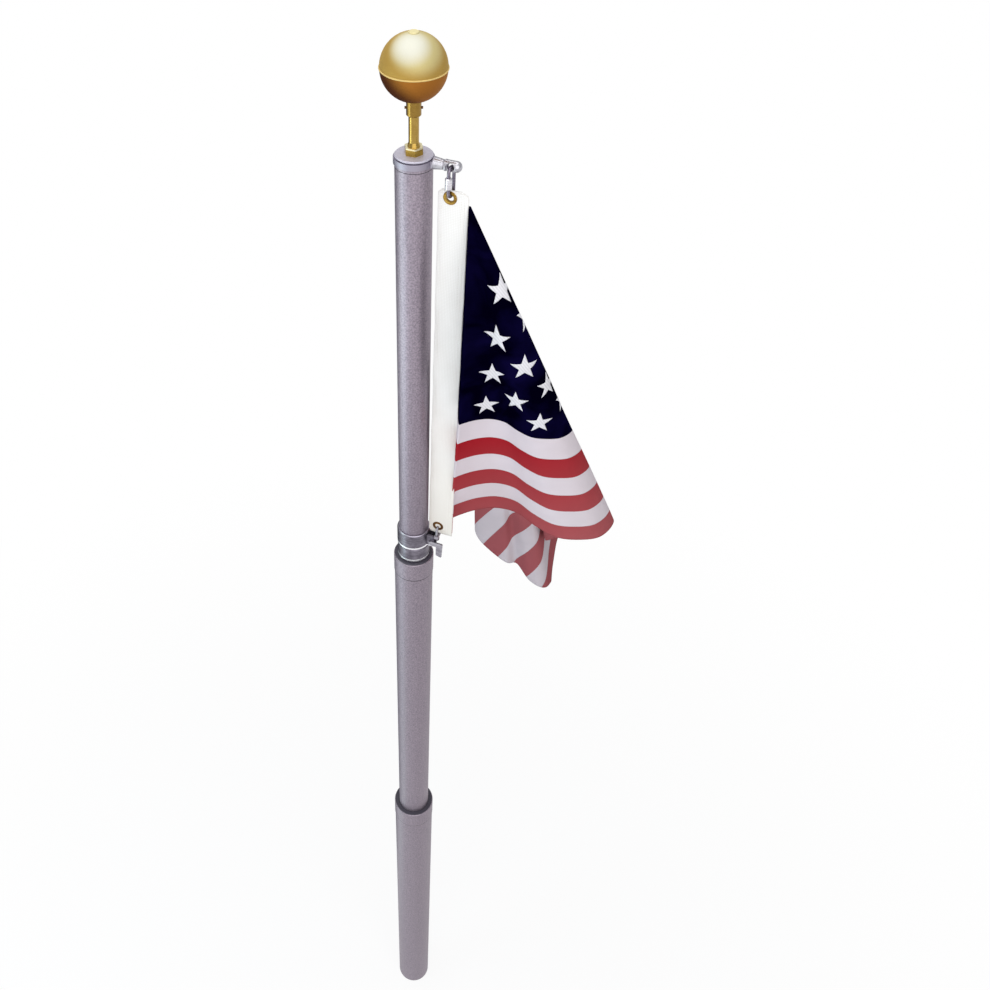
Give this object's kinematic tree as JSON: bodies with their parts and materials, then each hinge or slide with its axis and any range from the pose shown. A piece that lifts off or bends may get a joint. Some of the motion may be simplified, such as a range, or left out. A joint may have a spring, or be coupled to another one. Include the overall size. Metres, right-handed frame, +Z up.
{
  "type": "telescoping flagpole",
  "caption": "Telescoping aluminium flagpole with a gold ball finial and a flag hung from swivel rings on its slim upper tube, which slides in wider tubes below.",
  "frame": {"origin": "on the pole's axis at ground level, at the flat foot of the lower tube", "axes": "+Z up along the pole, +X along the swivel arms and the flag's header"},
  "size_m": [0.3354, 0.4289, 2.6535],
  "materials": {
    "tube_aluminium": "satin anodised",
    "collar_aluminium": "satin anodised",
    "bushing_plastic": "moulded",
    "band_steel": "turned",
    "cap_aluminium": "satin anodised",
    "finial_brass": "turned",
    "ball_gold": "satin gold anodised",
    "arm_casting": "polished casting",
    "link_steel": "zinc plated",
    "grommet_brass": "stamped",
    "header_canvas": "heavy cotton duck",
    "flag_nylon": "woven nylon, red, white and navy"
  },
  "bodies": {
    "lower_section": {"lower_tube": "tube_aluminium", "lower_collar": "collar_aluminium", "lower_bushing": "bushing_plastic", "base_plug": "bushing_plastic"},
    "middle_section": {"middle_tube": "tube_aluminium", "middle_collar": "collar_aluminium", "middle_bushing": "bushing_plastic"},
    "upper_section": {"upper_tube": "tube_aluminium", "stop_collar": "band_steel", "cap_plug": "cap_aluminium", "cap_disc": "cap_aluminium", "finial_nut": "finial_brass", "finial_stem": "finial_brass", "ball_neck": "finial_brass", "neck_screws": "finial_brass", "ball_lower_half": "ball_gold", "ball_upper_half": "ball_gold", "ball_seam_bead": "ball_gold", "ball_top_button": "ball_gold"},
    "top_swivel": {"top_swivel_ring": "arm_casting", "top_link": "link_steel", "top_link_sleeve": "link_steel", "flag_header": "header_canvas", "upper_grommet": "grommet_brass", "lower_grommet": "grommet_brass", "flag_field": "flag_nylon"},
    "lower_swivel": {"lower_swivel_band": "band_steel", "thumb_screw": "link_steel", "snap_body": "link_steel", "snap_hook": "link_steel", "snap_gate": "link_steel"}
  },
  "joints": [
    {"name": "middle_slide", "type": "slide", "parent": "lower_section", "child": "middle_section", "axis": [0, 0, 1], "range_m": [-0.78, 0]},
    {"name": "upper_slide", "type": "slide", "parent": "middle_section", "child": "upper_section", "axis": [0, 0, 1], "range_m": [0, 0.14]},
    {"name": "top_swivel_turn", "type": "hinge", "parent": "upper_section", "child": "top_swivel", "pos_m": [0, 0, 2.51], "axis": [0, 0, 1], "continuous": true},
    {"name": "lower_swivel_turn", "type": "hinge", "parent": "upper_section", "child": "lower_swivel", "pos_m": [0, 0, 1.87], "axis": [0, 0, 1], "continuous": true}
  ],
  "couplings": [
    {"joint": "lower_swivel_turn", "follows": "top_swivel_turn", "ratio": 1}
  ]
}
